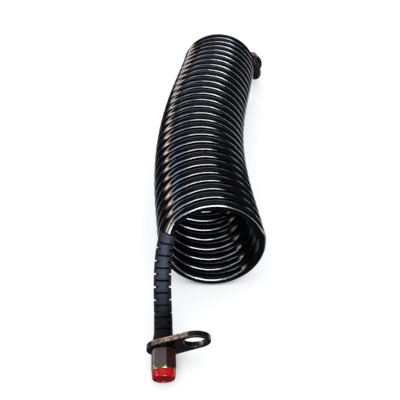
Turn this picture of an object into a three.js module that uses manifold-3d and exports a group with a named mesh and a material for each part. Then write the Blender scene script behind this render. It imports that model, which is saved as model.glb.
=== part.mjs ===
// Coiled air hose assembly: a 12 mm thermoplastic tube wound into a resting, slightly bent coil, with a
// straight tail at each end. Each tail carries a slotted anti-kink sleeve, a loose hanger lug, a crimped
// nipple with a sealing cone, a swivelling union nut and a protective plug.
//
// Millimetres, +Z up. The coil lies on z = 0 with its axis along +Y; the near end is at -Y.
import * as THREE from 'three';
import { mergeVertices } from 'three/addons/utils/BufferGeometryUtils.js';
import Module from 'manifold-3d';

const wasm = await Module();
wasm.setup();

const { clamp, degToRad } = THREE.MathUtils;
const vec = (x, y, z) => new THREE.Vector3(x, y, z);

// ---------------------------------------------------------------- driving dimensions
// Radii end in R; angles are in radians unless marked as degrees.
const WINDING_OFFSET = vec(-0.006, -219.823, -0.198);   // centres the assembly and sets it on z = 0

const TUBE_R = 6;
const BORE_R = 4.6;
const COIL_OUTER_DIAMETER = 125;
const COIL_MEAN_R = COIL_OUTER_DIAMETER / 2 - TUBE_R;
const TURNS = 26.5;
const STEPS_PER_TURN = 10;
const TAIL_STEPS = 19;          // along each curved tail
const STRAIGHT_STEPS = 3;       // along each straight end

// centre of the turns: polynomial coefficients, constant first, in the winding fraction 0..1
const PATH_X = [0, -56.179, -118.549, 392.811, -218.083];
const PATH_Y = [0, 388.005, 120.455, 21.016, -79.643];
const YAW_PIVOT = 0.091162;     // heading at which the turns and the path agree
const YAW_FOLLOW = 0.70232;     // share of the path's deviation from the pivot taken by the turns
// lean of the turns from the vertical, positive with the top toward +Y; slope and bow act about mid-coil
const LEAN = { middle: -0.074197, slope: -0.287172, bow: 0.111687 };

const TUBE_END_GAP = 1;         // the tube stops this far behind the lug's middle plane

// Each tail leaves the coil at a winding fraction, curves by two Bezier handles to the start of
// its straight end, and runs straight to the lug's middle.
const NEAR = {
  windingFraction: 0.004806,
  coilHandle: vec(-62.407, -0.783, 79.586),
  straightHandle: vec(-55.092, -44.379, 30.568),
  straightStart: vec(-51.860, -79.546, 23.446),
  lugCentre: vec(-49.619, -103.935, 18.431),
  lugTurn: 28.5,                // degrees
};
const FAR = {
  windingFraction: 0.9965,
  coilHandle: vec(73.463, 447.606, 53.439),
  straightHandle: vec(67.910, 463.710, 24.100),
  straightStart: vec(66.935, 519.565, 20.194),
  lugCentre: vec(66.500, 544.500, 18.450),
  lugTurn: 5,
};

const FERRULE = { outerR: 8, length: 25 };
// top and foot are distances back from the lug's middle plane
const SLEEVE = { foot: 3.3, top: 129, footR: 10.2, topR: 9.6, footBoreR: 8.75, boreR: 6.9 };
const SLOTS = {
  count: 15,                    // levels, each with two opposite slots
  first: 17.6,                  // distance of the first level back from the lug
  pitch: 14.25,                 // between levels facing the same way
  width: 2,
  halfAngle: 60,                // degrees each side of a slot's middle
  turn: -4,                     // degrees
  footFloorR: 9.3,              // over the wide foot bore
  floorR: 7.5,
  cutterR: 15,
};
const LUG = { thickness: 6, bodyR: 18, holeR: 8.45, ringR: 17, eyeR: 12.2, centres: 37.5 };
const NUT = {
  acrossFlats: 24,
  back: 3.5,
  length: 22,
  cornerAngle: 16,              // degrees from the local x axis
  boreR: 9.2,
  backBoreR: 6.4,
};
const NUT_FRONT = NUT.back + NUT.length;
const CONE_RING = { meanR: 7, sectionR: 0.75, height: 12.5 };
const PLUG = { headR: 12.35, headLength: 7.6, stemR: 8.85, nutGap: 0.3 };

// ---------------------------------------------------------------- materials
const material = (settings) => new THREE.MeshStandardMaterial(settings);
const MATERIALS = {
  tube: material({ color: 0x0d0e11, roughness: 0.16, metalness: 0 }),
  sleeve: material({ color: 0x23272e, roughness: 0.62, metalness: 0 }),
  lug: material({ color: 0x111318, roughness: 0.35, metalness: 0 }),
  nut: material({ color: 0xb08f6a, roughness: 0.32, metalness: 1 }),
  nipple: material({ color: 0xa79a78, roughness: 0.35, metalness: 1 }),
  ferrule: material({ color: 0x9aa0a6, roughness: 0.3, metalness: 1 }),
  ring: material({ color: 0x141414, roughness: 0.6, metalness: 0 }),
  plug: material({ color: 0xd81f26, roughness: 0.35, metalness: 0 }),
};

// ---------------------------------------------------------------- solids
// strips the geometry to welded positions, as the solid modeller needs
function solid(geometry) {
  geometry.deleteAttribute('normal');
  geometry.deleteAttribute('uv');
  const welded = mergeVertices(geometry, 1e-4);
  const mesh = new wasm.Mesh({
    numProp: 3,
    vertProperties: new Float32Array(welded.attributes.position.array),
    triVerts: new Uint32Array(welded.index.array),
  });
  mesh.merge();
  return new wasm.Manifold(mesh);
}

// the result still needs its normals
function geometryOf(manifold) {
  const mesh = manifold.getMesh();
  const geometry = new THREE.BufferGeometry();
  const positions = new Float32Array(mesh.vertProperties);
  geometry.setAttribute('position', new THREE.BufferAttribute(positions, 3));
  geometry.setIndex(new THREE.BufferAttribute(new Uint32Array(mesh.triVerts), 1));
  return geometry;
}

// turns a counter-clockwise [radius, height] outline about z; one that starts on the axis stays open
function turned(outline, segments) {
  const points = outline.map(([radius, height]) => new THREE.Vector2(radius, height));
  if (outline[0][0] !== 0) points.push(points[0].clone());
  const geometry = new THREE.LatheGeometry(points, segments);
  geometry.rotateX(Math.PI / 2);
  return geometry;
}

// ---------------------------------------------------------------- the hose's centre line
const polynomial = (coefficients, at) => coefficients.reduce((sum, k, i) => sum + k * at ** i, 0);
const derivative = (coefficients, at) =>
  coefficients.reduce((sum, k, i) => sum + (i ? i * k * at ** (i - 1) : 0), 0);

function coilPoint(fraction) {
  const heading = Math.atan2(derivative(PATH_X, fraction), derivative(PATH_Y, fraction));
  const yaw = YAW_FOLLOW * (heading - YAW_PIVOT) + YAW_PIVOT;
  const fromMiddle = fraction - 0.5;
  const lean = LEAN.middle + LEAN.slope * fromMiddle + LEAN.bow * fromMiddle ** 2 * 4;
  const angle = Math.PI - 2 * Math.PI * TURNS * fraction;
  const across = COIL_MEAN_R * Math.cos(angle);
  const up = COIL_MEAN_R * Math.sin(angle);
  return vec(
    polynomial(PATH_X, fraction) + across * Math.cos(yaw) + up * Math.sin(lean) * Math.sin(yaw),
    polynomial(PATH_Y, fraction) - across * Math.sin(yaw) + up * Math.sin(lean) * Math.cos(yaw),
    COIL_MEAN_R * Math.cos(lean) + TUBE_R + up * Math.cos(lean),
  );
}

// from the coil to the start of the straight end
function tailCurve(end) {
  const start = coilPoint(end.windingFraction);
  return new THREE.CubicBezierCurve3(start, end.coilHandle, end.straightHandle, end.straightStart);
}

const outwardOf = (end) => end.lugCentre.clone().sub(end.straightStart).normalize();
const tubeEnd = (end) => end.lugCentre.clone().addScaledVector(outwardOf(end), -TUBE_END_GAP);

// Five sections from the near end to the far one, each stepped evenly in its own parameter.
class HosePath extends THREE.Curve {
  constructor() {
    super();
    const nearTail = tailCurve(NEAR);
    const farTail = tailCurve(FAR);
    const nearEnd = tubeEnd(NEAR);
    const farEnd = tubeEnd(FAR);
    const coilStart = NEAR.windingFraction;
    const coilSpan = FAR.windingFraction - coilStart;
    const coilSteps = Math.round(STEPS_PER_TURN * TURNS * coilSpan);
    this.sections = [
      { steps: STRAIGHT_STEPS, at: (w) => nearEnd.clone().lerp(NEAR.straightStart, w) },
      { steps: TAIL_STEPS, at: (w) => nearTail.getPoint(1 - w) },
      { steps: coilSteps, at: (w) => coilPoint(coilStart + coilSpan * w) },
      { steps: TAIL_STEPS, at: (w) => farTail.getPoint(w) },
      { steps: STRAIGHT_STEPS, at: (w) => FAR.straightStart.clone().lerp(farEnd, w) },
    ];
    this.steps = this.sections.reduce((sum, section) => sum + section.steps, 0);
  }

  // keeps the steps as set above instead of spacing them by arc length
  getUtoTmapping(u) {
    return u;
  }

  getPoint(u) {
    let step = u * this.steps;
    let i = 0;
    while (i < this.sections.length - 1 && step >= this.sections[i].steps) {
      step -= this.sections[i].steps;
      i++;
    }
    const section = this.sections[i];
    return section.at(step / section.steps);
  }
}

function polygon(radius, sides, Kind) {
  const points = [];
  for (let i = 0; i < sides; i++) {
    const angle = 2 * Math.PI * i / sides;
    points.push(new THREE.Vector2(radius * Math.cos(angle), radius * Math.sin(angle)));
  }
  return new Kind(points);
}

function coilTube() {
  const section = polygon(TUBE_R, 8, THREE.Shape);
  section.holes.push(polygon(BORE_R, 6, THREE.Path));
  const path = new HosePath();
  return new THREE.ExtrudeGeometry(section, {
    steps: path.steps,
    bevelEnabled: false,
    extrudePath: path,
    curveSegments: 1,
  });
}

// ---------------------------------------------------------------- anti-kink sleeves
// Local axes of an end: z outward along the tail, x level, y upward.
function endAxes(end) {
  const outward = outwardOf(end);
  const level = vec(-outward.y, outward.x, 0).normalize();
  const up = new THREE.Vector3().crossVectors(outward, level);
  return { outward, level, up };
}

// frames carried back from the lug along the tail, so that a straight sleeve can be laid on it
function tailFrames(end) {
  const { outward, level } = endAxes(end);
  const curve = tailCurve(end);
  const samples = 400;
  let distance = end.lugCentre.distanceTo(end.straightStart);
  let last = end.straightStart;
  const frames = [
    { distance: 0, point: end.lugCentre, direction: outward },
    { distance, point: last, direction: outward },
  ];
  for (let i = 1; i <= samples; i++) {
    const point = curve.getPoint(1 - i / samples);
    distance += point.distanceTo(last);
    frames.push({ distance, point, direction: last.clone().sub(point).normalize() });
    last = point;
  }
  const side = level.clone();
  for (const frame of frames) {
    side.addScaledVector(frame.direction, -side.dot(frame.direction)).normalize();
    frame.x = side.clone();
    frame.y = new THREE.Vector3().crossVectors(frame.direction, frame.x);
  }
  return frames;
}

function bendAlong(geometry, frames) {
  const positions = geometry.attributes.position;
  const vertex = new THREE.Vector3();
  for (let i = 0; i < positions.count; i++) {
    vertex.fromBufferAttribute(positions, i);
    const distance = -vertex.z;
    let k = 1;
    while (k < frames.length - 1 && frames[k].distance < distance) k++;
    const before = frames[k - 1];
    const after = frames[k];
    const span = after.distance - before.distance;
    const weight = clamp((distance - before.distance) / span, 0, 1);
    const x = before.x.clone().lerp(after.x, weight).normalize();
    const y = before.y.clone().lerp(after.y, weight).normalize();
    const bent = before.point.clone().lerp(after.point, weight);
    bent.addScaledVector(x, vertex.x).addScaledVector(y, vertex.y);
    positions.setXYZ(i, bent.x, bent.y, bent.z);
  }
  geometry.computeVertexNormals();
  return geometry;
}

// the straight sleeve before slotting, from z = -top up to z = -foot
function sleeveBody() {
  const { foot, top, footR, topR, footBoreR, boreR } = SLEEVE;
  const radiusAt = (back) => footR + (topR - footR) * back / top;
  // [radius, distance back from the lug], both from foot to top
  const outer = [[12.8, foot], [11.9, 6], [11.1, 10], [radiusAt(16) + 0.1, 16]];
  for (let back = 28; back < top - 4; back += 14) outer.push([radiusAt(back), back]);
  outer.push([topR, top - 1], [topR - 1, top]);
  const inner = [[footBoreR, foot], [footBoreR, FERRULE.length], [boreR, FERRULE.length + 0.6]];
  for (let back = 38; back < top - 4; back += 13) inner.push([boreR, back]);
  inner.push([boreR, top]);
  const outline = [...outer.reverse(), ...inner].map(([radius, back]) => [radius, -back]);
  return solid(turned(outline, 12));
}

// ring sector centred on the x axis
function slotCutter(floorR) {
  const half = degToRad(SLOTS.halfAngle);
  const shape = new THREE.Shape();
  shape.absarc(0, 0, SLOTS.cutterR, -half, half, false);
  shape.absarc(0, 0, floorR, half, -half, true);
  shape.closePath();
  return new THREE.ExtrudeGeometry(shape, {
    depth: SLOTS.width,
    bevelEnabled: false,
    curveSegments: 2,
  });
}

function antiKinkSleeve(end) {
  let body = sleeveBody();
  for (let level = 0; level < SLOTS.count; level++) {
    const back = SLOTS.first + level * SLOTS.pitch / 2;
    const floorR = back < FERRULE.length + 3 ? SLOTS.footFloorR : SLOTS.floorR;
    const quarterTurn = level % 2 ? 0 : 90;
    for (const side of [0, 180]) {
      const slot = slotCutter(floorR);
      slot.translate(0, 0, -back - SLOTS.width / 2);
      slot.rotateZ(degToRad(SLOTS.turn + side + quarterTurn));
      body = body.subtract(solid(slot));
    }
  }
  return bendAlong(geometryOf(body), tailFrames(end));
}

// ---------------------------------------------------------------- end fittings
// Built in the local axes of an end, with z = 0 on the lug's middle plane.
// Turned outlines are [radius, height].
function crimpFerrule() {
  const { outerR, length } = FERRULE;
  return turned([
    [6.4, -length + 1.4], [7.6, -length + 1.4], [outerR, -length + 2], [outerR, 1.1], [7.6, 1.5],
    [4.95, 1.5], [4.95, -0.6], [6.4, -0.6],
  ], 16);
}

function nipple() {
  return turned([
    // barbed stem
    [2.5, -22], [3.2, -22], [3.65, -19.6], [3.25, -19.6], [3.65, -14.6], [3.25, -14.6],
    [3.65, -9.6], [3.25, -9.6], [3.65, -4.6], [3.65, -0.7],
    // shoulders
    [4.5, -0.7], [4.5, 1.9], [6.0, 1.9], [6.0, 6.9], [8.5, 6.9], [8.5, 9.4], [7.95, 9.7],
    // cone with its ring groove
    [7.6, 11.4], [5.95, 11.4], [5.95, 13.6], [7.1, 13.6], [6.35, 17.0], [3.2, 17.0], [2.5, 16.3],
  ], 12);
}

function coneRing() {
  const geometry = new THREE.TorusGeometry(CONE_RING.meanR, CONE_RING.sectionR, 6, 18);
  geometry.translate(0, 0, CONE_RING.height);
  return geometry;
}

// plate around the hose and an eye, with straight sides tangent to both round ends
function hangerLug(turn) {
  const { thickness, bodyR, holeR, ringR, eyeR, centres } = LUG;
  const tangentAngle = Math.acos((bodyR - ringR) / centres);
  const shape = new THREE.Shape();
  shape.absarc(centres, 0, ringR, -tangentAngle, tangentAngle, false);
  shape.absarc(0, 0, bodyR, tangentAngle, 2 * Math.PI - tangentAngle, false);
  shape.closePath();
  for (const [x, radius] of [[centres, eyeR], [0, holeR]]) {
    const hole = new THREE.Path();
    hole.absarc(x, 0, radius, 0, 2 * Math.PI, true);
    shape.holes.push(hole);
  }
  const geometry = new THREE.ExtrudeGeometry(shape, {
    depth: thickness,
    bevelEnabled: false,
    curveSegments: 14,
  });
  geometry.translate(0, 0, -thickness / 2);
  geometry.rotateZ(degToRad(turn));
  return geometry;
}

function unionNut() {
  const { acrossFlats, back, length, cornerAngle, boreR, backBoreR } = NUT;
  const cornerR = acrossFlats / Math.sqrt(3);
  const hexagon = new THREE.CylinderGeometry(cornerR, cornerR, length, 6);
  hexagon.rotateX(Math.PI / 2);
  // a cylinder's first corner lies on its own +z, which the turn above lays on -y
  hexagon.rotateZ(degToRad(90 + cornerAngle));
  hexagon.translate(0, 0, back + length / 2);
  // chamfers the hexagon's corners at both ends
  const envelope = turned([
    [0, back], [12.6, back], [cornerR + 0.05, back + 1.1], [cornerR + 0.05, NUT_FRONT - 3.4],
    [12.05, NUT_FRONT], [0, NUT_FRONT],
  ], 24);
  const cavity = turned([
    [0, back - 1], [backBoreR, back - 1], [backBoreR, back + 3], [boreR, back + 3.4],
    [boreR, NUT_FRONT - 1.1], [boreR + 1.2, NUT_FRONT + 0.1], [boreR + 1.2, NUT_FRONT + 1],
    [0, NUT_FRONT + 1],
  ], 24);
  const geometry = geometryOf(solid(hexagon).intersect(solid(envelope)).subtract(solid(cavity)));
  geometry.computeVertexNormals();
  return geometry;
}

// hollow-backed stem inside the nut and a wider head in front of it
function protectivePlug() {
  const { headR, headLength, stemR, nutGap } = PLUG;
  const start = NUT_FRONT + nutGap;
  const end = start + headLength;
  return turned([
    [0, end - 3.4], [7.3, end - 3.4], [7.3, start - 8.2], [stemR - 0.5, start - 8.2],
    [stemR, start - 7.4], [stemR, start], [headR - 0.4, start], [headR, start + 0.5],
    [headR - 0.25, end - 1.6], [headR - 1.1, end], [8.8, end], [8.4, end - 0.8], [0, end - 0.8],
  ], 20);
}

// ---------------------------------------------------------------- assembly
const assembly = new THREE.Group();
const windingFrame = new THREE.Group();
windingFrame.position.copy(WINDING_OFFSET);
assembly.add(windingFrame);

function part(name, geometry, finish, parent = windingFrame) {
  const mesh = new THREE.Mesh(geometry, finish);
  mesh.name = name;
  parent.add(mesh);
}

function fittingFrame(end) {
  const { outward, level, up } = endAxes(end);
  const frame = new THREE.Group();
  frame.position.copy(end.lugCentre);
  frame.quaternion.setFromRotationMatrix(new THREE.Matrix4().makeBasis(level, up, outward));
  return frame;
}

part('coil_tube', coilTube(), MATERIALS.tube);

for (const [side, end] of [['near', NEAR], ['far', FAR]]) {
  part(`${side}_anti_kink_sleeve`, antiKinkSleeve(end), MATERIALS.sleeve);
  const fitting = fittingFrame(end);
  windingFrame.add(fitting);
  part(`${side}_crimp_ferrule`, crimpFerrule(), MATERIALS.ferrule, fitting);
  part(`${side}_nipple`, nipple(), MATERIALS.nipple, fitting);
  part(`${side}_cone_o_ring`, coneRing(), MATERIALS.ring, fitting);
  part(`${side}_hanger_lug`, hangerLug(end.lugTurn), MATERIALS.lug, fitting);
  part(`${side}_union_nut`, unionNut(), MATERIALS.nut, fitting);
  part(`${side}_protective_plug`, protectivePlug(), MATERIALS.plug, fitting);
}

export default assembly;
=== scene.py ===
"""Coiled air hose with a fitting at each end, for Blender 4.5.

The scene is in the row frame: metres, +Z up, the floor at z = 0. The coil lies along Y, with its
near end towards -Y, the camera's side, and its far end towards +Y. Each end leaves the coil as a
short tail that carries an anti-kink sleeve, a crimped ferrule, a nipple with an O-ring, a hanger
lug, a union nut and a protective plug. The hose is worked out in millimetres, and meshes are
scaled to metres as they are made.
"""
import math

import bpy
import numpy as np
from mathutils import Matrix, Vector
from mathutils.geometry import tessellate_polygon


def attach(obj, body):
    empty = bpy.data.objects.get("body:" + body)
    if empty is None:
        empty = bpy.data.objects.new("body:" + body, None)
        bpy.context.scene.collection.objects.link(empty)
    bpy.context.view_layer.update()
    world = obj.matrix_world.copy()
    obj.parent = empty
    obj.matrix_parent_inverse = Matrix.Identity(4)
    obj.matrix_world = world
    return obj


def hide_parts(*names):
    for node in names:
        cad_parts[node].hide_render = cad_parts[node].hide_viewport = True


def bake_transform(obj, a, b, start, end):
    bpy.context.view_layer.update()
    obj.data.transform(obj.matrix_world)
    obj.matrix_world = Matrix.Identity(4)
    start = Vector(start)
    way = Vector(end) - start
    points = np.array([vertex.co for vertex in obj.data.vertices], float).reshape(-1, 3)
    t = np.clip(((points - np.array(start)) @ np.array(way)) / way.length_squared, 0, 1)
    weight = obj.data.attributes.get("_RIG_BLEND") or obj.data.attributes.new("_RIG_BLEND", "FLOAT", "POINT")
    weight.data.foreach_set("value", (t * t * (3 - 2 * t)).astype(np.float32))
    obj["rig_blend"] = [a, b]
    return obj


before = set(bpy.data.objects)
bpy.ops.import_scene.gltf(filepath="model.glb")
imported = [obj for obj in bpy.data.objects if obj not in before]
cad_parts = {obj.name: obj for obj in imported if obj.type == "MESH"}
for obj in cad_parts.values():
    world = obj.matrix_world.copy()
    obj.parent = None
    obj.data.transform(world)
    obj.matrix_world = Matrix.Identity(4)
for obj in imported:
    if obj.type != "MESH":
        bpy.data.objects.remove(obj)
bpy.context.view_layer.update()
MM = 0.001

# ------------------------------------------------------------------ driving dimensions (mm)
SHIFT = np.array([-0.006, -219.823, -0.198])  # from the hose's own layout to the row frame

# the coil: a share of 0 to 1 runs through all its turns
TUBE_R, BORE_R = 6.0, 4.5
MEAN_R, TURNS = 56.5, 26.5
PATH_X = [0, -56.179, -118.549, 392.811, -218.083]  # axis, as polynomials of the share
PATH_Y = [0, 388.005, 120.455, 21.016, -79.643]
CHORD_YAW, YAW_FOLLOW = 0.091162, 0.70232           # how far the turns follow the axis' heading
LEAN = [-0.074197, -0.287172, 0.111687]             # radians: middle, linear and square terms

# each tail: a Bezier curve from a share of the coil to a straight stem that ends at the lug
TAILS = {
    "near": {
        "share": 0.004806,
        "handle": [-62.407, -0.783, 79.586],
        "handle2": [-55.092, -44.379, 30.568],
        "straight": [-51.860, -79.546, 23.446],
        "lug": [-49.619, -103.935, 18.431],
    },
    "far": {
        "share": 0.9965,
        "handle": [73.463, 447.606, 53.439],
        "handle2": [67.910, 463.710, 24.100],
        "straight": [66.935, 519.565, 20.194],
        "lug": [66.500, 544.500, 18.450],
    },
}
SIDES = ("near", "far")
SLEEVE_TOP, SLEEVE_FOOT = 129.0, 3.3  # distances back from the lug's middle plane
COIL_INSIDE = 24.0                    # how far the coil's ends reach into the sleeves
TUBE_GAP = 2.0                        # between the coil's end and the tail tube, in the sleeve
FLEX_FROM, FLEX_TO = 104.0, 30.0      # where the bend starts and where it is complete
LUG_TURN = {"near": 28.5, "far": 5.0}  # degrees round the fitting, from level
NUT_CORNER = 16.0
NUT_FLAT = NUT_CORNER + 30


# ------------------------------------------------------------------ the hose's centre line
def poly(terms, share):
    return sum(term * share**i for i, term in enumerate(terms))


def poly_slope(terms, share):
    return sum(i * term * share ** (i - 1) for i, term in enumerate(terms) if i)


def turn_point(share):
    """Points of the coil's centre line."""
    share = np.asarray(share, float)
    heading = np.arctan2(poly_slope(PATH_X, share), poly_slope(PATH_Y, share))
    yaw = YAW_FOLLOW * (heading - CHORD_YAW) + CHORD_YAW
    lean = LEAN[0] + LEAN[1] * (share - 0.5) + LEAN[2] * (share - 0.5) ** 2 * 4
    angle = math.pi - 2 * math.pi * TURNS * share
    across, rise = MEAN_R * np.cos(angle), MEAN_R * np.sin(angle)
    return np.stack([
        poly(PATH_X, share) + across * np.cos(yaw) + rise * np.sin(lean) * np.sin(yaw),
        poly(PATH_Y, share) - across * np.sin(yaw) + rise * np.sin(lean) * np.cos(yaw),
        MEAN_R * np.cos(lean) + TUBE_R + rise * np.cos(lean)], -1) + SHIFT


def unit(vector):
    return vector / np.linalg.norm(vector, axis=-1, keepdims=True)


def running_length(points):
    return np.r_[0, np.cumsum(np.linalg.norm(np.diff(points, axis=0), axis=1))]


def carry(x, along):
    """Carries the direction x down a line without twist; along holds the line's directions."""
    xs = []
    for direction in along:
        x = x - x.dot(direction) * direction
        x = x / np.linalg.norm(x)
        xs.append(x)
    xs = np.array(xs)
    return xs, np.cross(along, xs)


class Tail:
    """One end of the hose.

    The fitting frame starts in the lug's middle plane: x is level, y upwards, and "ahead" is the
    distance outwards. The centre line runs back to the coil, and dist is the distance along it.
    """

    def __init__(self, share, handle, handle2, straight, lug):
        start = turn_point([share])[0]
        handle, handle2, straight, self.lug = (
            np.array(point) + SHIFT for point in (handle, handle2, straight, lug))
        self.out = unit(self.lug - straight)
        self.level = unit(np.array([-self.out[1], self.out[0], 0.0]))
        self.up = np.cross(self.out, self.level)
        s = np.linspace(1, 0, 1201)[:, None]
        curve = ((1 - s) ** 3 * start + 3 * (1 - s) ** 2 * s * handle
                 + 3 * (1 - s) * s * s * handle2 + s**3 * straight)
        stem = self.lug + np.linspace(0, 1, 40)[:-1, None] * (straight - self.lug)
        self.centre = np.vstack([stem, curve])
        self.dist = running_length(self.centre)
        along = -unit(np.gradient(self.centre, self.dist, axis=0))
        along[self.dist < np.linalg.norm(self.lug - straight) - 0.5] = self.out
        self.xs, self.ys = carry(self.level, along)

    def sample(self, values, dist):
        return np.stack([np.interp(dist, self.dist, values[:, k]) for k in range(3)], -1)

    def axes(self, dist):
        return unit(self.sample(self.xs, dist)), unit(self.sample(self.ys, dist))

    def bent(self, x, y, ahead):
        """Places fitting coordinates along the curved centre line."""
        xs, ys = self.axes(-ahead)
        return self.sample(self.centre, -ahead) + x[..., None] * xs + y[..., None] * ys

    def rigid(self, x, y, ahead):
        """Places fitting coordinates in the straight fitting frame."""
        return (self.lug + x[..., None] * self.level + y[..., None] * self.up
                + ahead[..., None] * self.out)


TAIL = {side: Tail(**TAILS[side]) for side in SIDES}


# ------------------------------------------------------------------ mesh helpers
def around(count):
    return np.arange(count) * 2 * np.pi / count


def smooth(value):
    value = np.clip(value, 0, 1)
    return value * value * (3 - 2 * value)


def soft_min(first, second, blend):
    return -blend * np.log(np.exp(-first / blend) + np.exp(-second / blend))


def smooth_object(name, mesh, sharp):
    """Links a smooth-shaded object; edges steeper than sharp degrees stay crisp."""
    mesh.polygons.foreach_set("use_smooth", np.ones(len(mesh.polygons), bool))
    if sharp:
        mesh.set_sharp_from_angle(angle=math.radians(sharp))
    piece = bpy.data.objects.new(name, mesh)
    bpy.context.scene.collection.objects.link(piece)
    return piece


def grid_object(name, points, coords, sharp=35, cavity=None):
    """A grid closed both ways. points is (rows, columns, 3) in millimetres.

    coords is kept as the point attribute "tubeco", so 3-D textures have no seam.
    """
    rows, columns = points.shape[:2]
    verts = (points.reshape(-1, 3) * MM).astype(float)
    i = np.arange(rows)[:, None]
    j = np.arange(columns)[None, :]
    next_i, next_j = (i + 1) % rows, (j + 1) % columns
    quads = np.stack([i * columns + j, next_i * columns + j,
                      next_i * columns + next_j, i * columns + next_j], -1).reshape(-1, 4)
    a, b, c, d = (verts[quads[:, k]] for k in range(4))
    volume = (np.einsum("ij,ij->i", a, np.cross(b, c))
              + np.einsum("ij,ij->i", a, np.cross(c, d))).sum()
    if volume < 0:  # the faces must look outwards
        quads = quads[:, ::-1]
    mesh = bpy.data.meshes.new(name)
    mesh.vertices.add(len(verts))
    mesh.vertices.foreach_set("co", verts.ravel())
    mesh.loops.add(quads.size)
    mesh.loops.foreach_set("vertex_index", quads.ravel())
    mesh.polygons.add(len(quads))
    mesh.polygons.foreach_set("loop_start", np.arange(0, quads.size, 4))
    mesh.polygons.foreach_set("loop_total", np.full(len(quads), 4))
    mesh.update(calc_edges=True)
    mesh.validate()
    tubeco = mesh.attributes.new("tubeco", "FLOAT_VECTOR", "POINT")
    tubeco.data.foreach_set("vector", coords.reshape(-1, 3).astype(np.float32).ravel())
    if cavity is not None:
        attribute = mesh.attributes.new("cavity", "FLOAT", "POINT")
        attribute.data.foreach_set("value", cavity.astype(np.float32).ravel())
    return smooth_object(name, mesh, sharp)


def turned(name, side, radii, ahead, sharp, bent=False, cavity=None):
    """A piece round the fitting's axis: one row per station, one column per angle."""
    angle = around(radii.shape[1])
    cosine, sine = np.cos(angle), np.sin(angle)
    place = TAIL[side].bent if bent else TAIL[side].rigid
    points = place(radii * cosine, radii * sine, ahead)
    coords = np.stack([cosine + 0 * radii, sine + 0 * radii, ahead], -1)
    return grid_object(name, points, coords, sharp, cavity)


def turned_loop(name, side, loop, count, sharp, reshape=None):
    """Turns a closed loop of (radius, ahead); reshape may vary the radii round the axis."""
    radii, ahead = (np.repeat(column[:, None], count, 1) for column in np.array(loop, float).T)
    if reshape:
        radii = reshape(around(count), radii, ahead)
    return turned(name, side, radii, ahead, sharp)


def rounded(corners, steps=4):
    """Rounds a closed loop of corners (radius, ahead, rounding); nearly straight ones stay."""
    loop = []
    for i, (*corner, rounding) in enumerate(corners):
        corner = np.array(corner, float)
        if rounding == 0:
            loop.append(corner)
            continue
        before = np.array(corners[i - 1][:2]) - corner
        after = np.array(corners[(i + 1) % len(corners)][:2]) - corner
        before_length, after_length = np.linalg.norm(before), np.linalg.norm(after)
        before, after = before / before_length, after / after_length
        angle = math.acos(max(-1, min(1, float(before @ after))))
        if angle > math.radians(170):
            loop.append(corner)
            continue
        cut = min(rounding / math.tan(angle / 2), 0.45 * before_length, 0.45 * after_length)
        start, end = corner + before * cut, corner + after * cut
        for t in np.linspace(0, 1, steps + 1):
            loop.append((1 - t) ** 2 * start + 2 * (1 - t) * t * corner + t * t * end)
    return loop


def densify(loop, step):
    """Divides the sides of a closed loop into lengths of about step."""
    dense = []
    for start, end in zip(loop, loop[1:] + loop[:1]):
        parts = max(1, int(np.linalg.norm(end - start) / step))
        for t in np.arange(parts) / parts:
            dense.append((1 - t) * start + t * end)
    return dense


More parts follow.
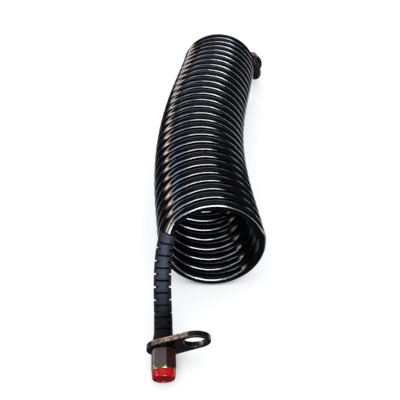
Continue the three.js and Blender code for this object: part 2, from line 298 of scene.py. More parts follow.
# ------------------------------------------------------------------ shader helpers
class Nodes:
    """Short ways to add nodes to a tree. An input takes a socket to link or a value."""

    def __init__(self, tree):
        self.tree = tree

    def feed(self, node, inputs):
        for key, value in inputs.items():
            socket = node.inputs[key]
            if isinstance(value, bpy.types.NodeSocket):
                self.tree.links.new(value, socket)
            elif socket.type == "RGBA":
                socket.default_value = (*value, 1)
            else:
                socket.default_value = value

    def add(self, kind, inputs=None, **settings):
        node = self.tree.nodes.new(kind)
        for key, value in settings.items():
            setattr(node, key, value)
        self.feed(node, inputs or {})
        return node

    def attribute(self, name, output):
        return self.add("ShaderNodeAttribute", attribute_name=name).outputs[output]

    def mapped(self, vector, scale):
        return self.add("ShaderNodeMapping", {"Vector": vector, "Scale": scale}).outputs[0]

    def object_coords(self):
        return self.mapped(self.add("ShaderNodeTexCoord").outputs["Object"], (1, 1, 1))

    def tube_coords(self, scale):
        return self.mapped(self.attribute("tubeco", "Vector"), scale)

    def separate(self, vector):
        return self.add("ShaderNodeSeparateXYZ", {0: vector}).outputs

    def noise(self, vector, scale, detail, rough, distortion=0.0):
        return self.add("ShaderNodeTexNoise", {
            "Vector": vector, "Scale": scale, "Detail": detail, "Roughness": rough,
            "Distortion": distortion}).outputs["Fac"]

    def ramp(self, factor, stops):
        """stops holds (position, colour)."""
        node = self.add("ShaderNodeValToRGB", {0: factor})
        elements = node.color_ramp.elements
        while len(elements) < len(stops):
            elements.new(0.5)
        for element, (position, colour) in zip(elements, stops):
            element.position = position
            element.color = (*colour, 1)
        return node.outputs["Color"]

    def span(self, value, over, to=(0, 1), **settings):
        """Maps the range over to the range to, held at both ends."""
        return self.add("ShaderNodeMapRange", {
            "Value": value, "From Min": over[0], "From Max": over[1],
            "To Min": to[0], "To Max": to[1]}, **settings).outputs[0]

    def math(self, operation, *values):
        return self.add("ShaderNodeMath", dict(enumerate(values)), operation=operation).outputs[0]

    def mix(self, factor, first, second, blend="MIX"):
        """The first colour at factor 0, the second at 1."""
        return self.add("ShaderNodeMix", {0: factor, 6: first, 7: second},
                        data_type="RGBA", blend_type=blend).outputs[2]

    def mix_shader(self, factor, first, second):
        return self.add("ShaderNodeMixShader", {0: factor, 1: first, 2: second}).outputs[0]

    def scaled(self, vector, factor):
        return self.add("ShaderNodeVectorMath", {0: vector, "Scale": factor},
                        operation="SCALE").outputs[0]

    def plus(self, first, second):
        return self.add("ShaderNodeVectorMath", {0: first, 1: second},
                        operation="ADD").outputs[0]

    def bump(self, height, strength, distance, normal=None):
        inputs = {"Height": height, "Strength": strength, "Distance": distance}
        if normal is not None:
            inputs["Normal"] = normal
        return self.add("ShaderNodeBump", inputs).outputs[0]

    def edges(self, over, to=(0, 1)):
        """High on the mesh's convex edges."""
        geometry = self.add("ShaderNodeNewGeometry")
        return self.span(geometry.outputs["Pointiness"], over=over, to=to)


def new_material(name):
    mat = bpy.data.materials.new(name)
    mat.use_nodes = True
    mat.node_tree.nodes.clear()
    nodes = Nodes(mat.node_tree)
    output = nodes.add("ShaderNodeOutputMaterial")
    bsdf = nodes.add("ShaderNodeBsdfPrincipled")
    nodes.feed(output, {0: bsdf.outputs[0]})
    return mat, nodes, bsdf


# ------------------------------------------------------------------ materials
def tube_material():
    """High-gloss extruded nylon: fine die lines along the tube, waviness, rub marks and dust."""
    mat, nodes, bsdf = new_material("coil_tube_nylon")
    coords = nodes.object_coords()
    dust = nodes.noise(coords, scale=140, detail=6, rough=0.6)
    rub = nodes.noise(coords, scale=38, detail=5, rough=0.6, distortion=0.4)
    lines = nodes.noise(nodes.tube_coords((6, 6, 0.012)), scale=6.0, detail=3, rough=0.6)
    clean, dusty = (0.0016, 0.0018, 0.0026), (0.0065, 0.0068, 0.0085)
    base = nodes.mix(nodes.span(dust, over=(0.55, 0.78), to=(0, 0.6)), clean, dusty)
    rough = nodes.math("ADD", nodes.span(rub, over=(0.3, 0.75), to=(0.06, 0.13)),
                       nodes.span(dust, over=(0.6, 0.85), to=(0.0, 0.08)))
    waves = nodes.bump(nodes.noise(coords, scale=55, detail=2, rough=0.5),
                       strength=0.5, distance=0.0011)
    die = nodes.bump(lines, strength=0.25, distance=0.00006, normal=waves)
    fine = nodes.bump(nodes.noise(coords, scale=1600, detail=3, rough=0.6),
                      strength=0.12, distance=0.00003, normal=die)
    nodes.feed(bsdf, {"Base Color": base, "Roughness": rough, "IOR": 1.53, "Normal": fine})
    return mat


def sleeve_material():
    """Matt moulded rubber: fine stipple, a dusty bloom with painted sheen, painted shade, rubbed edges."""
    mat, nodes, bsdf = new_material("sleeve_rubber")
    coords = nodes.object_coords()
    bloom = nodes.noise(coords, scale=90, detail=6, rough=0.62)
    edge = nodes.edges(over=(0.51, 0.56))
    bare, dust_and_sheen, rubbed = (0.044, 0.054, 0.072), (0.125, 0.152, 0.200), (0.065, 0.075, 0.095)
    foot, flank, slot = (0.0045, 0.0045, 0.006), (0.0028, 0.0030, 0.0038), (0.001, 0.001, 0.0014)
    # the bloom is dust, and its light blue-grey also stands as a painted sheen on the lit rubber
    base = nodes.mix(nodes.span(bloom, over=(0.35, 0.75), to=(0, 0.85)), bare, dust_and_sheen)
    base = nodes.mix(nodes.math("MULTIPLY", edge, 0.35), base, rubbed)
    # painted shade: the colour darkens to near black towards the foot, where the bloom fades out
    ahead = nodes.separate(nodes.attribute("tubeco", "Vector"))[2]
    base = nodes.mix(nodes.span(ahead, over=(-80, -34), to=(0.0, 0.96)), base, foot)
    # painted shade: the colour falls to near black where the surface turns away from the viewer, on the
    # flanks
    view = nodes.add("ShaderNodeLayerWeight", {"Blend": 0.5})
    flank_shade_mask = nodes.span(view.outputs["Facing"], over=(0.03, 0.42), to=(0.0, 0.94))
    base = nodes.mix(flank_shade_mask, base, flank)
    # painted shade: the slots are darkened to near black, and their reflection is weakened too
    cavity = nodes.attribute("cavity", "Fac")
    base = nodes.mix(nodes.span(cavity, over=(0.1, 0.7), to=(0.0, 0.94)), base, slot)
    stipple = nodes.bump(nodes.noise(coords, scale=2600, detail=2, rough=0.5),
                         strength=0.35, distance=0.00006)
    soft = nodes.bump(nodes.noise(coords, scale=260, detail=3, rough=0.5),
                      strength=0.3, distance=0.00025, normal=stipple)
    nodes.feed(bsdf, {
        "Base Color": base,
        "Roughness": nodes.span(bloom, over=(0.3, 0.8), to=(0.5, 0.66)),
        "Specular IOR Level": nodes.span(cavity, over=(0.1, 0.7), to=(0.12, 0.03)),
        "Normal": soft})
    return mat


def lug_material():
    """Semi-gloss black moulded plastic with a fine grain and scuffed edges."""
    mat, nodes, bsdf = new_material("lug_plastic")
    coords = nodes.object_coords()
    scuff = nodes.noise(coords, scale=120, detail=7, rough=0.68, distortion=0.6)
    edge = nodes.edges(over=(0.52, 0.60))
    clean, scuffed, worn = (0.0035, 0.0038, 0.005), (0.013, 0.0135, 0.015), (0.05, 0.048, 0.046)
    base = nodes.mix(nodes.span(scuff, over=(0.5, 0.8), to=(0, 0.6)), clean, scuffed)
    base = nodes.mix(nodes.math("MULTIPLY", edge, 0.35), base, worn)
    shine = nodes.noise(coords, scale=210, detail=3, rough=0.55, distortion=0.8)
    grain = nodes.bump(nodes.noise(coords, scale=1500, detail=3, rough=0.5),
                       strength=0.25, distance=0.00005)
    waves = nodes.bump(nodes.noise(coords, scale=70, detail=2, rough=0.5),
                       strength=0.25, distance=0.0004, normal=grain)
    nodes.feed(bsdf, {
        "Base Color": base,
        "Roughness": nodes.span(scuff, over=(0.35, 0.75), to=(0.14, 0.34)),
        "Specular IOR Level": nodes.span(shine, over=(0.40, 0.60), to=(0.14, 0.58)),
        "IOR": 1.58,
        "Normal": waves})
    return mat


# interference colours of the chromate film: (film value, colour)
FILM = [
    (0.28, (0.55, 0.42, 0.36)), (0.38, (0.66, 0.47, 0.47)), (0.48, (0.56, 0.44, 0.50)),
    (0.55, (0.52, 0.40, 0.40)), (0.60, (0.42, 0.55, 0.16)), (0.70, (0.72, 0.72, 0.22)),
    (0.82, (0.60, 0.42, 0.34)),
]


def zinc_material(name, chromate):
    """Satin zinc with machining lines; chromate is the share of the coloured film over it."""
    mat, nodes, bsdf = new_material(name)
    coords = nodes.object_coords()
    patch = nodes.noise(coords, scale=150, detail=3, rough=0.6, distortion=0.9)
    speck = nodes.noise(coords, scale=1100, detail=3, rough=0.7, distortion=0.6)
    fine = nodes.noise(coords, scale=520, detail=5, rough=0.65)
    x, y, ahead = nodes.separate(nodes.attribute("tubeco", "Vector"))
    # patches and specks of film, shifted along the colours towards the nut's mouth
    value = nodes.math("ADD", nodes.math("MULTIPLY", patch, 0.42),
                       nodes.math("MULTIPLY", speck, 0.56))
    value = nodes.math("ADD", value, nodes.span(ahead, over=(13, 25), to=(-0.10, 0.14)))
    film = nodes.ramp(value, FILM)
    # painted shade: a deep red-brown over the directions of one opposite pair of the nut's flats, standing
    # in for the dark reflection those flats show
    brown = math.radians(NUT_FLAT)
    painted_flat_shade = nodes.math("ABSOLUTE", nodes.math(
        "ADD", nodes.math("MULTIPLY", x, math.cos(brown)),
        nodes.math("MULTIPLY", y, math.sin(brown))))
    painted_flat_shade = nodes.span(painted_flat_shade, over=(0.84, 0.90), to=(0.0, 0.86))
    film = nodes.mix(nodes.math("MULTIPLY", painted_flat_shade, chromate), film, (0.36, 0.085, 0.055))
    grey = nodes.mix(fine, (0.46, 0.46, 0.47), (0.62, 0.61, 0.59))
    base = nodes.mix(chromate, grey, film)
    stain = nodes.span(fine, over=(0.5, 0.8), to=(0, 0.4))
    base = nodes.mix(stain, base, (0.20, 0.13, 0.09))
    half = (0.5, 0.5, 0.5)
    base = nodes.mix(1.0, base, half, blend="MULTIPLY")
    # corners are rubbed back to bright zinc; the lighter edges are also a painted highlight
    edge = nodes.edges(over=(0.505, 0.54))
    rubbed = nodes.math("MULTIPLY", edge, nodes.span(fine, over=(0.35, 0.65), to=(0.3, 0.9)))
    base = nodes.mix(rubbed, base, (0.50, 0.47, 0.42))
    lines = nodes.bump(nodes.noise(nodes.tube_coords((2, 2, 9)), scale=3.0, detail=4, rough=0.7),
                       strength=0.2, distance=0.0001)
    nodes.feed(bsdf, {
        "Base Color": base,
        "Metallic": 0.9,
        "Roughness": nodes.span(speck, over=(0.3, 0.75), to=(0.24, 0.5)),
        "Normal": nodes.bump(fine, strength=0.15, distance=0.0001, normal=lines)})
    return mat


def seal_material():
    """Black nitrile rubber."""
    mat, nodes, bsdf = new_material("seal_nitrile")
    grain = nodes.noise(nodes.object_coords(), scale=900, detail=3, rough=0.5)
    nodes.feed(bsdf, {
        "Base Color": nodes.mix(grain, (0.010, 0.010, 0.011), (0.022, 0.022, 0.023)),
        "Roughness": nodes.span(grain, over=(0.3, 0.7), to=(0.35, 0.5)),
        "Normal": nodes.bump(grain, strength=0.1, distance=0.00005)})
    return mat


def plug_material():
    """Bright red, slightly translucent moulded polyethylene with flow marks."""
    mat, nodes, bsdf = new_material("plug_polyethylene")
    coords = nodes.object_coords()
    flow = nodes.noise(coords, scale=150, detail=4, rough=0.6, distortion=0.8)
    deep, bright = (0.66, 0.0015, 0.004), (0.84, 0.006, 0.010)
    grain = nodes.noise(coords, scale=700, detail=3, rough=0.5)
    nodes.feed(bsdf, {
        "Base Color": nodes.mix(nodes.span(flow, over=(0.3, 0.75)), deep, bright),
        "Roughness": nodes.span(flow, over=(0.3, 0.75), to=(0.2, 0.34)),
        "Specular IOR Level": 0.25,
        "Subsurface Weight": 0.2,
        "Subsurface Radius": (1.0, 0.12, 0.08),
        "Subsurface Scale": 0.004,
        "IOR": 1.5,
        "Normal": nodes.bump(grain, strength=0.12, distance=0.00008)})
    return mat


MATERIALS = {
    "tube": tube_material(),
    "sleeve": sleeve_material(),
    "lug": lug_material(),
    "nut": zinc_material("nut_zinc", chromate=1.0),
    "nipple": zinc_material("nipple_zinc", chromate=0.45),
    "ferrule": zinc_material("ferrule_zinc", chromate=0.1),
    "seal": seal_material(),
    "plug": plug_material(),
}


# ------------------------------------------------------------------ joining pieces to the frame
def blend(piece, first, second, weights):
    """Blends between two bodies by the place along the hose.

    Each cross-section moves as one, so the tube stays round.
    """
    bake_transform(piece, first, second, start=(0, 0, 0), end=(0, 1, 0))
    attribute = piece.data.attributes["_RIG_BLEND"]
    attribute.data.foreach_set("value", weights.astype(np.float32).ravel())


def flex_weight(dist):
    return smooth((FLEX_FROM - dist) / (FLEX_FROM - FLEX_TO))


def dress(piece, material, node):
    piece.data.materials.clear()
    piece.data.materials.append(MATERIALS[material])
    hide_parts(node)


def fit(piece, side, body, material, node):
    """A rigid piece that rides on one of its end's bodies."""
    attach(piece, f"{side}_{body}")
    dress(piece, material, f"{side}_{node}")


# ------------------------------------------------------------------ the tube
def tube(name, centre, xs, ys, count, along, weights, bodies):
    """A hollow tube with open ends: the skin forward, the bore back, a small lip at each mouth."""
    lip_inset, lip_reach = 0.25, 0.2
    angle = around(count)
    ring = (np.cos(angle)[None, :, None] * xs[:, None]
            + np.sin(angle)[None, :, None] * ys[:, None])
    normal = np.cross(xs, ys)
    sign = 1.0 if np.dot(centre[1] - centre[0], normal[0]) > 0 else -1.0
    reach = lip_reach * normal[:, None] * sign
    lip = centre[:, None] + (TUBE_R - lip_inset) * ring
    skin = centre[:, None] + TUBE_R * ring
    bore = (centre[:, None] + BORE_R * ring)[::-1]
    points = np.concatenate([lip[:1] - reach[:1], skin, lip[-1:] + reach[-1:], bore])

    def by_row(values):
        return np.concatenate([values[:1], values, values[-1:], values[::-1]])

    coords = np.zeros(points.shape)
    coords[..., 0] = np.cos(angle)[None]
    coords[..., 1] = np.sin(angle)[None]
    coords[..., 2] = by_row(along)[:, None]
    piece = grid_object(name, points, coords)
    blend(piece, *bodies, np.repeat(by_row(weights), count))
    dress(piece, "tube", "coil_tube")


def coil():
    per_turn = 72
    first, last = (TAILS[side]["share"] for side in SIDES)
    share = np.linspace(first, last, int(per_turn * TURNS))

    def stub(tail):
        dist = np.arange(SLEEVE_TOP - COIL_INSIDE, tail.dist[-1] - 0.6, 1.6)
        return tail.sample(tail.centre, dist)

    near, far = stub(TAIL["near"]), stub(TAIL["far"])[::-1]
    centre = np.vstack([near, turn_point(share), far])
    weights = np.r_[np.zeros(len(near)), (share - first) / (last - first), np.ones(len(far))]
    xs, ys = carry(np.array([1.0, 0, 0]), unit(np.gradient(centre, axis=0)))
    tube("coil_tube_smooth", centre, xs, ys, 24, running_length(centre), weights,
         ("near_coil_end", "far_coil_end"))


def tail_tube(side):
    tail = TAIL[side]
    dist = np.linspace(1.0, SLEEVE_TOP - COIL_INSIDE - TUBE_GAP, 90)
    tube(f"{side}_tail_tube", tail.sample(tail.centre, dist), *tail.axes(dist), 32, dist,
         flex_weight(dist), (f"{side}_coil_end", f"{side}_fitting"))


# ------------------------------------------------------------------ sleeves
SLEEVE_FOOT_R, SLEEVE_TOP_R = 10.2, 9.6  # the taper, carried on to the lug's middle plane
SLEEVE_BORE_R, POCKET_R = 6.4, 8.4
POCKET_END = 25.0                        # the wide bore round the ferrule ends here
FIRST_SLOT, SLOT_END_MARGIN = 17.6, 6
SLOT_PITCH = 14.25                       # between slots on the same two sides
SLOT_TURN, SLOT_HALF = -4.0, 60.0        # degrees: where the slots face, and half their sweep
SHALLOW_FLOOR_R, DEEP_FLOOR_R = 9.15, 7.4

# the flared foot: (distance back, radius)
FOOT_ROWS = [
    (SLEEVE_FOOT, 12.1), (SLEEVE_FOOT + 0.15, 12.55), (SLEEVE_FOOT + 0.55, 12.75),
    (4.6, 12.5), (6, 11.95), (8, 11.5), (10, 11.1), (12.5, 10.65), (14.5, 10.35),
]
# one flank of a slot: (distance from its middle, share of its depth)
SLOT_FLANK = [
    (2.0, 0.0), (1.35, 0.0), (1.12, 0.03), (1.0, 0.10), (0.95, 0.3), (0.93, 0.7),
    (0.88, 0.94), (0.7, 1.0),
]
SLOT_PROFILE = [(-off, share) for off, share in SLOT_FLANK] + [(0, 1.0)] + SLOT_FLANK[::-1]


def taper_radius(dist):
    return SLEEVE_FOOT_R + (SLEEVE_TOP_R - SLEEVE_FOOT_R) * dist / SLEEVE_TOP


TOP_ROWS = [
    (SLEEVE_TOP - 3.4, taper_radius(SLEEVE_TOP)), (SLEEVE_TOP - 2.2, 9.5),
    (SLEEVE_TOP - 1.2, 9.2), (SLEEVE_TOP - 0.5, 8.7), (SLEEVE_TOP - 0.12, 8.0),
]
# the bore, from the top back down to the foot
BORE_ROWS = [(SLEEVE_TOP - 0.1, 6.6), (SLEEVE_TOP - 0.5, SLEEVE_BORE_R)]
BORE_ROWS += [(dist, SLEEVE_BORE_R) for dist in np.arange(SLEEVE_TOP - 6, POCKET_END + 1.5, -6)]
BORE_ROWS += [
    (POCKET_END + 0.7, SLEEVE_BORE_R), (POCKET_END, POCKET_R), (POCKET_END - 8, POCKET_R),
    (10, POCKET_R), (SLEEVE_FOOT + 0.2, 8.45), (SLEEVE_FOOT, 8.7),
]


def sleeve(side):
    """A tapered rubber sleeve; its slots come in pairs that alternate by a quarter turn."""
    count = 180
    angle = np.degrees(around(count))
    levels = int((SLEEVE_TOP - SLOT_END_MARGIN - FIRST_SLOT) / (SLOT_PITCH / 2)) + 1
    slots = [FIRST_SLOT + level * SLOT_PITCH / 2 for level in range(levels)]
    rows = []

    def add(dist, radius, cut):
        rows.append([np.zeros(count) + value for value in (-dist, radius, cut)])

    for dist, radius in FOOT_ROWS:
        add(dist, radius, 0)
    for level, middle in enumerate(slots):
        floor_radius = SHALLOW_FLOOR_R if middle < POCKET_END + 3 else DEEP_FLOOR_R
        turn = SLOT_TURN + (0 if level % 2 else 90)
        off = np.abs((angle - turn + 90) % 180 - 90)
        opening = smooth((SLOT_HALF + 1.6 - off) / 3.4)
        for step, share in SLOT_PROFILE:
            radius = taper_radius(middle + step)
            cut = share * opening
            add(middle + step, radius - (radius - floor_radius) * cut, cut)
        if level + 1 < levels:
            rib = (middle + slots[level + 1]) / 2
            add(rib, taper_radius(rib) + 0.04, 0)
    for dist, radius in TOP_ROWS:
        add(dist, radius, 0)
    for dist, radius in BORE_ROWS:
        add(dist, radius, 1)
    ahead, radii, cavity = np.array(rows).transpose(1, 0, 2)
    piece = turned(f"{side}_anti_kink_sleeve_moulded", side, radii, ahead, sharp=40,
                   bent=True, cavity=cavity)
    blend(piece, f"{side}_coil_end", f"{side}_fitting", flex_weight(-ahead))
    dress(piece, "sleeve", f"{side}_anti_kink_sleeve")


# ------------------------------------------------------------------ end fittings
FERRULE = [  # radius, ahead, rounding
    (6.3, -23.6, 0.3), (8.0, -23.6, 0.6), (8.0, 1.5, 0.5),
    (4.95, 1.5, 0.3), (4.95, -0.6, 0.1), (6.3, -0.6, 0.1),
]


def ferrule(side):
    """A steel shell crimped in eight lobes, with fine ribs round it."""
    band_start, band_end, band_fade = -21, -4.5, 1.5
    skin_from, lobe_depth, rib_depth, rib_pitch = 7.2, 0.28, 0.14, 3.6

    def crimp(angle, radii, ahead):
        band = (smooth((ahead - band_start) / band_fade)
                * smooth((band_end - ahead) / band_fade))
        lobes = 0.5 + 0.5 * np.cos(8 * angle)
        ribs = 0.5 + 0.5 * np.cos((ahead - band_start) * 2 * np.pi / rib_pitch)
        depth = band * (lobe_depth * (1 - lobes) ** 2 + rib_depth * ribs)
        return np.where(radii > skin_from, radii - depth, radii)

    piece = turned_loop(f"{side}_crimp_ferrule_fine", side, densify(rounded(FERRULE), 0.7),
                        96, sharp=50, reshape=crimp)
    fit(piece, side, "fitting", "ferrule", "crimp_ferrule")


NIPPLE = [  # radius, ahead: barbs, shank, collar, O-ring groove and nose, then the bore
    (2.5, -22), (3.2, -22), (3.65, -19.6), (3.25, -19.5), (3.65, -14.6), (3.25, -14.5),
    (3.65, -9.6), (3.25, -9.5), (3.65, -4.6), (3.65, -0.7), (4.5, -0.7), (4.5, 1.9),
    (6.0, 1.9), (6.0, 6.9), (8.5, 6.9), (8.5, 9.2), (7.95, 9.6), (7.6, 11.4),
    (5.95, 11.4), (5.95, 13.6), (7.1, 13.6), (6.35, 17.0), (2.9, 17.0), (2.5, 16.6),
]
NIPPLE_ROUNDING = 0.16


def nipple(side):
    loop = rounded([(*corner, NIPPLE_ROUNDING) for corner in NIPPLE], steps=3)
    piece = turned_loop(f"{side}_nipple_turned", side, loop, 96, sharp=40)
    fit(piece, side, "fitting", "nipple", "nipple")


def cone_ring(side):
    """The O-ring in the nipple's groove."""
    ring_radius, ring_ahead, cord_radius = 7.0, 12.5, 0.75
    loop = [(ring_radius + cord_radius * math.cos(a), ring_ahead + cord_radius * math.sin(a))
            for a in around(24)]
    piece = turned_loop(f"{side}_cone_o_ring_fine", side, loop, 96, sharp=None)
    fit(piece, side, "fitting", "seal", "cone_o_ring")


def arc(middle, radius, angles, sign=1):
    """Points (x, y) of an arc about (middle, 0), each with its normal out of the material."""
    return [(middle + radius * math.cos(a), radius * math.sin(a),
             sign * math.cos(a), sign * math.sin(a)) for a in angles]


def lug(side):
    """A flat plate: a round body about the fitting, tapering to a ring with a hanging eye."""
    body_radius, ring_radius, ring_middle = 18.0, 17.0, 37.5
    eye_radius, hole_radius = 12.2, 8.45
    half_thickness, rounding, groove = 3.0, 0.6, 0.12
    tangent = math.acos((body_radius - ring_radius) / ring_middle)
    outline = arc(ring_middle, ring_radius, np.linspace(-tangent, tangent, 72))
    outline += arc(0, body_radius, np.linspace(tangent, 2 * math.pi - tangent, 72))
    eye = arc(ring_middle, eye_radius, around(96), sign=-1)
    hole = arc(0, hole_radius, around(72), sign=-1)

    # the wall's section (inset, z), with a fine groove at mid thickness
    half = [(rounding - rounding * math.sin(b), -half_thickness + rounding - rounding * math.cos(b))
            for b in np.linspace(0, math.pi / 2, 5)]
    half += [(0.0, -1.2), (0.0, -0.35)]
    section = half + [(groove, 0.0)] + [(inset, -z) for inset, z in reversed(half)]

    verts, faces, rims = [], [], []
    for loop in (outline, eye, hole):
        start, size = len(verts), len(loop)
        verts += [(x - out_x * inset, y - out_y * inset, z)
                  for inset, z in section for x, y, out_x, out_y in loop]
        for row in range(len(section) - 1):
            low = start + row * size
            high = low + size
            for i in range(size):
                j = (i + 1) % size
                face = [low + i, low + j, high + j, high + i]
                faces.append(face if loop is outline else face[::-1])
        last = start + (len(section) - 1) * size
        rims.append((range(start, start + size), range(last, last + size)))
    # the two flat faces
    for level, upward in ((0, False), (1, True)):
        loops = [[Vector((*verts[i][:2], 0)) for i in rim[level]] for rim in rims]
        flat = [i for rim in rims for i in rim[level]]
        for triangle in tessellate_polygon(loops):
            face = [flat[i] for i in triangle]
            a, b, c = (verts[i] for i in face)
            turns_left = (b[0] - a[0]) * (c[1] - a[1]) - (b[1] - a[1]) * (c[0] - a[0]) > 0
            faces.append(face if turns_left == upward else face[::-1])

    turn = math.radians(LUG_TURN[side])
    x, y, z = np.array(verts, float).T
    points = TAIL[side].rigid(x * math.cos(turn) - y * math.sin(turn),
                              x * math.sin(turn) + y * math.cos(turn), z) * MM
    name = f"{side}_hanger_lug_moulded"
    mesh = bpy.data.meshes.new(name)
    mesh.from_pydata([tuple(point) for point in points], [], faces)
    mesh.validate()
    piece = smooth_object(name, mesh, 40)
    fit(piece, side, "lug", "lug", "hanger_lug")


def nut(side):
    """A hexagon union nut, threaded from its mouth, with chamfered ends."""
    across_flats, back, length = 24.0, 3.5, 22.0
    front = back + length
    corner = across_flats / math.sqrt(3)
    front_chamfer_r, front_chamfer = 12.15, 3.6
    back_chamfer_r, back_chamfer = 12.5, 1.0
    thread_r, thread_depth, thread_pitch = 9.25, 0.8, 1.5
    angle = around(288)
    sixth = math.pi / 3
    from_corner = (angle - math.radians(NUT_CORNER) + sixth / 2) % sixth - sixth / 2
    from_flat = math.pi / 6 - np.abs(from_corner)
    # the hexagon, its corners a little rounded
    hex_radii = soft_min((across_flats / 2) / np.cos(from_flat), corner - 0.18, 0.22)

    def outside(ahead):
        cone = min(
            front_chamfer_r + (front - ahead) * (corner - front_chamfer_r + 0.1) / front_chamfer,
            back_chamfer_r + (ahead - back) * (corner - back_chamfer_r + 0.1) / back_chamfer)
        edge = min(front - ahead, ahead - back)
        return soft_min(hex_radii, cone, 0.07) - 0.35 * max(0.0, 1 - edge / 0.3) ** 2

    def thread(ahead):
        lead_in = max(0.0, 1 - (front - ahead) / 1.3)
        phase = (ahead / thread_pitch - angle / (2 * math.pi)) % 1.0
        depth = np.clip((np.abs(phase * 2 - 1) - 0.15) / 0.7, 0, 1)
        fade = smooth((ahead - (back + 4.6)) / 2.0)
        return np.maximum(thread_r + thread_depth * depth * fade, 9.3 + 1.1 * lead_in)

    outside_stations = np.r_[
        back + 0.05, np.linspace(back + 0.1, back + 2.2, 14),
        np.linspace(back + 3.2, front - 5.2, 12), np.linspace(front - 4.6, front - 0.05, 34)]
    # radius, ahead: out over the back face, along the hexagon, in over the mouth and back inside
    rows = [(10.6, back), (11.6, back)]
    rows += [(outside(ahead), ahead) for ahead in outside_stations]
    rows += [(11.7, front), (10.7, front), (10.45, front - 0.12)]
    rows += [(thread(ahead), ahead) for ahead in np.arange(front - 0.35, back + 4.4, -0.15)]
    rows += [(9.2, back + 3.6), (8.6, back + 3.05), (6.6, back + 3.0),
             (6.4, back + 2.8), (6.4, back + 0.3), (6.7, back)]
    radii, ahead = (np.array([np.zeros(len(angle)) + value for value in column])
                    for column in zip(*rows))
    piece = turned(f"{side}_union_nut_fine", side, radii, ahead, sharp=24)
    fit(piece, side, "nut", "nut", "union_nut")


def plug(side):
    """A cap with a ribbed rim, and a hollow skirt that reaches into the nut."""
    start, length, radius = 25.8, 7.6, 12.35
    end = start + length
    rib_count, rib_depth = 36, 0.12
    corners = [  # radius, ahead, rounding
        (0.02, end - 3.4, 0), (7.3, end - 3.4, 0.4), (7.3, start - 8.2, 0.3),
        (8.35, start - 8.2, 0.2), (8.85, start - 7.2, 0.2), (8.85, start, 0.2),
        (radius - 0.1, start, 0.35), (radius, start + 1.0, 0.2), (radius - 0.25, end - 2.2, 0.8),
        (radius - 1.1, end, 0.8), (9.0, end, 0.4), (8.5, end - 0.8, 0.4), (0.02, end - 0.8, 0),
    ]

    def ribs(angle, radii, ahead):
        grip = (smooth((ahead - start - 0.5) / 0.8) * smooth((end - 1.6 - ahead) / 0.8)
                * (radii > 10.5))
        wave = 0.5 + 0.5 * np.cos(rib_count * angle)
        return radii - grip * rib_depth * wave**2

    loop = densify(rounded(corners, steps=5), 0.8)
    piece = turned_loop(f"{side}_protective_plug_moulded", side, loop, 288, sharp=50,
                        reshape=ribs)
    fit(piece, side, "plug", "plug", "protective_plug")


coil()
for side in SIDES:
    for build in (tail_tube, sleeve, ferrule, nipple, cone_ring, lug, nut, plug):
        build(side)


# ------------------------------------------------------------------ floor (metres from here on)
def floor_material():
    """A pale floor to the camera, dark to other rays, and clear to reflections."""
    mat, nodes, bsdf = new_material("studio_floor")
    pale, shaded, bounce = (0.55, 0.55, 0.55), (0.012, 0.012, 0.014), (0.10, 0.095, 0.09)
    glow = 0.62
    # the floor right under the coil is in deep shade
    occlusion = nodes.add("ShaderNodeAmbientOcclusion", {"Distance": 0.09}, samples=8)
    open_sky = nodes.span(occlusion.outputs["AO"], over=(0.14, 0.42), to=(0.0, 1.0))
    nodes.feed(bsdf, {
        "Base Color": nodes.mix(open_sky, shaded, pale),
        "Roughness": 0.9,
        "Specular IOR Level": 0.0,
        "Emission Color": (1, 1, 1),
        "Emission Strength": nodes.math("MULTIPLY", open_sky, glow)})
    ray = nodes.add("ShaderNodeLightPath").outputs
    dark = nodes.add("ShaderNodeBsdfDiffuse", {0: bounce})
    # reflections look through the floor to the world's lights
    through = nodes.add("ShaderNodeBsdfTransparent")
    reflected = nodes.mix_shader(ray["Is Glossy Ray"], dark.outputs[0], through.outputs[0])
    surface = nodes.mix_shader(ray["Is Camera Ray"], reflected, bsdf.outputs[0])
    nodes.feed(mat.node_tree.nodes["Material Output"], {0: surface})
    return mat


def floor():
    half = 6.0
    mesh = bpy.data.meshes.new("studio_floor")
    mesh.from_pydata([(-half, -half, 0), (half, -half, 0), (half, half, 0), (-half, half, 0)],
                     [], [(0, 1, 2, 3)])
    ground = bpy.data.objects.new("studio_floor", mesh)
    bpy.context.scene.collection.objects.link(ground)
    mesh.materials.append(floor_material())
    return ground


def keep_below(ground, pieces):
    """Sinks the floor when a joint carries a fitting below rest; at rest it lies at zero."""
    slack = 0.0003
    tree = bpy.data.node_groups.new("floor_below_fittings", "GeometryNodeTree")
    for direction in ("INPUT", "OUTPUT"):
        tree.interface.new_socket("Geometry", in_out=direction,
                                  socket_type="NodeSocketGeometry")
    nodes = Nodes(tree)
    start, end = nodes.add("NodeGroupInput"), nodes.add("NodeGroupOutput")
    lowest = -slack
    for piece in pieces:
        info = nodes.add("GeometryNodeObjectInfo", {"Object": piece}, transform_space="RELATIVE")
        box = nodes.add("GeometryNodeBoundBox", {"Geometry": info.outputs["Geometry"]})
        lowest = nodes.math("MINIMUM", nodes.separate(box.outputs["Min"])[2], lowest)
    lift = nodes.math("ADD", lowest, slack)
    offset = nodes.add("ShaderNodeCombineXYZ", {2: lift})
    place = nodes.add("GeometryNodeSetPosition", {
        "Geometry": start.outputs[0], "Offset": offset.outputs[0]})
    nodes.feed(end, {0: place.outputs[0]})
    ground.modifiers.new("floor_below_fittings", "NODES").node_group = tree


keep_below(floor(), [
    bpy.data.objects[f"{side}_{name}"] for side in SIDES
    for name in ("hanger_lug_moulded", "union_nut_fine", "protective_plug_moulded")])

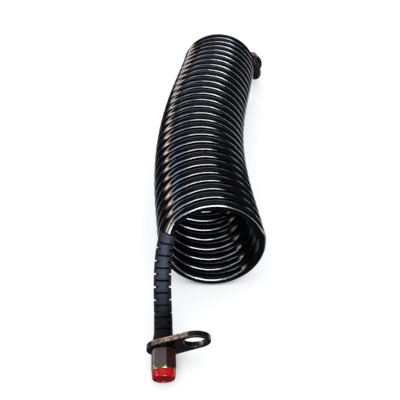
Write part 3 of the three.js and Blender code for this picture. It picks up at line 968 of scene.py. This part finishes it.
# ------------------------------------------------------------------ world
# Soft boxes painted on the sky. Azimuth 0 is the camera's side (-Y) and + turns to +X; degrees.
# Columns: azimuth from, to, elevation from, to, soft edge, colour, strength
BOXES = [
    (-9, 24, 6, 29, 7, (0.90, 0.95, 1.00), 34.0),       # front box
    (-42, -9, 11, 29, 8, (0.66, 0.84, 1.00), 8.0),      # its cool spill, to the left
    (-90, -58, 13, 22, 6, (1.00, 0.70, 0.46), 17.0),    # warm box on the left
    (-130, -92, 7, 16, 6, (1.00, 0.74, 0.55), 5.0),     # its spill, lower and further back
    (-180, -40, -44, -24, 8, (0.86, 0.93, 1.00), 0.7),  # pale ground on the left
    (80, 180, -44, -28, 8, (0.90, 0.94, 1.00), 0.6),    # and on the right
    (-180, -138, 20, 32, 8, (0.90, 0.95, 1.00), 2.0),   # wall behind, left
    (150, 180, 16, 28, 8, (0.90, 0.95, 1.00), 2.0),     # and right
    (-180, 180, 62, 90, 12, (0.92, 0.95, 1.00), 0.25),  # dim ceiling
]
# the lit edge of the table, a thin line: (azimuth, elevation)
TABLE_EDGE = [
    (-180, -28), (-165, -18), (-150, -3), (-130, 8), (-100, 16), (-78, 18), (-60, 16), (-45, 12),
    (-28, 11), (-10, 16), (20, 15), (30, 5), (40, -3), (60, -12), (80, -18), (100, -25),
    (130, -31), (180, -36),
]
EDGE_LOW, EDGE_RANGE = 60, 120  # a ramp value of 0 to 1 stands for -60 to 60 degrees
# its colour: (share of the full circle from azimuth -180, colour)
EDGE_GLOW = [
    (0.0, (0.16, 0.18, 0.21)), (0.20, (0.30, 0.34, 0.40)), (0.38, (0.26, 0.28, 0.33)),
    (0.47, (0.24, 0.28, 0.36)), (0.56, (0.95, 0.98, 1.0)), (0.66, (0.95, 0.96, 0.98)),
    (0.74, (0.55, 0.55, 0.56)), (0.80, (0.20, 0.20, 0.20)), (1.0, (0.12, 0.12, 0.12)),
]
EDGE_STRENGTH = 10.0
AMBIENT = (0.060, 0.068, 0.092)
# the sky that lights surfaces diffusely: (share from elevation -5 to 90, colour)
SKY = [
    (0.0, (0.04, 0.04, 0.05)), (0.3, (0.16, 0.17, 0.20)), (0.62, (1.1, 1.12, 1.2)),
    (1.0, (2.4, 2.4, 2.5)),
]


def studio_world():
    world = bpy.data.worlds.new("studio")
    bpy.context.scene.world = world
    world.use_nodes = True
    nodes = Nodes(world.node_tree)
    x, y, z = nodes.separate(nodes.add("ShaderNodeTexCoord").outputs["Generated"])
    degrees = 180 / math.pi
    azimuth = nodes.math("ARCTAN2", x, nodes.math("MULTIPLY", y, -1.0))
    azimuth = nodes.math("MULTIPLY", azimuth, degrees)
    elevation = nodes.math("MULTIPLY", nodes.math("ARCSINE", z), degrees)

    def pulse(value, low, high, soft):
        rise, fall = (nodes.span(value, over=(at - soft / 2, at + soft / 2),
                                 interpolation_type="SMOOTHSTEP") for at in (low, high))
        return nodes.math("MULTIPLY", rise, nodes.math("SUBTRACT", 1.0, fall))

    boxes = None
    for az_from, az_to, el_from, el_to, soft, colour, strength in BOXES:
        mask = nodes.math("MULTIPLY", pulse(azimuth, az_from, az_to, soft),
                          pulse(elevation, el_from, el_to, soft))
        light = nodes.scaled([channel * strength for channel in colour], mask)
        boxes = light if boxes is None else nodes.plus(boxes, light)

    across = nodes.span(azimuth, over=(-180, 180))
    height = nodes.separate(nodes.ramp(across, [
        ((az + 180) / 360, ((el + EDGE_LOW) / EDGE_RANGE,) * 3) for az, el in TABLE_EDGE]))[0]
    height = nodes.math("SUBTRACT", nodes.math("MULTIPLY", height, EDGE_RANGE), EDGE_LOW)
    off = nodes.math("ABSOLUTE", nodes.math("SUBTRACT", elevation, height))
    line = nodes.span(off, over=(1.5, 5.5), to=(1.0, 0.0))
    strip = nodes.scaled(nodes.ramp(across, EDGE_GLOW),
                         nodes.math("MULTIPLY", line, EDGE_STRENGTH))
    studio = nodes.plus(nodes.plus(boxes, strip), AMBIENT)

    sky = nodes.ramp(nodes.span(elevation, over=(-5, 90)), SKY)
    ray = nodes.add("ShaderNodeLightPath").outputs
    # a reflection of a reflection shows the studio dimly
    dimming = nodes.span(ray["Ray Depth"], over=(2.4, 2.6), to=(1.0, 0.10))
    colour = nodes.mix(ray["Is Glossy Ray"], sky, nodes.scaled(studio, dimming))
    colour = nodes.mix(ray["Is Camera Ray"], colour, (1.0, 1.0, 1.0))
    nodes.feed(world.node_tree.nodes["Background"], {0: colour, 1: 1.0})


# ------------------------------------------------------------------ light and camera
def warm_card():
    """A warm card held close to the near fitting; it lights only the lug."""
    card = bpy.data.lights.new("warm_card", "AREA")
    card.shape = "RECTANGLE"
    card.size, card.size_y = 0.40, 0.34
    card.color = (1.0, 0.68, 0.46)
    card.energy = 4.0
    holder = bpy.data.objects.new("warm_card", card)
    bpy.context.scene.collection.objects.link(holder)
    target, distance = Vector((-0.035, -0.318, 0.030)), 0.9
    azimuth, elevation = math.radians(-109), math.radians(32)
    aim = Vector((math.sin(azimuth) * math.cos(elevation),
                  -math.cos(azimuth) * math.cos(elevation), math.sin(elevation)))
    holder.location = target + aim * distance
    holder.rotation_euler = aim.to_track_quat("Z", "Y").to_euler()
    lit = bpy.data.collections.new("lit_by_warm_card")
    lit.objects.link(bpy.data.objects["near_hanger_lug_moulded"])
    holder.light_linking.receiver_collection = lit


def camera():
    """Looks down the coil from beyond its near end."""
    lens = bpy.data.cameras.new("camera")
    lens.sensor_width = 36.0
    lens.lens = 46.8
    lens.clip_end = 20
    holder = bpy.data.objects.new("camera", lens)
    position = (np.array([6.194, -410.839, 498.33]) + SHIFT) * MM
    heading, dip, roll = (math.radians(value) for value in (-2.8478, 41.3845, -0.7104))
    forward = np.array([math.sin(heading) * math.cos(dip), math.cos(heading) * math.cos(dip),
                        -math.sin(dip)])
    level = np.array([math.cos(heading), -math.sin(heading), 0.0])
    upright = np.cross(level, forward)
    right = level * math.cos(roll) + upright * math.sin(roll)
    top = -level * math.sin(roll) + upright * math.cos(roll)
    axes = np.column_stack([right, top, -forward, position])
    holder.matrix_world = Matrix(np.vstack([axes, [0, 0, 0, 1]]).tolist())
    bpy.context.scene.collection.objects.link(holder)
    bpy.context.scene.camera = holder


studio_world()
warm_card()
camera()
bpy.context.scene.view_settings.view_transform = "Standard"

bpy.context.view_layer.update()
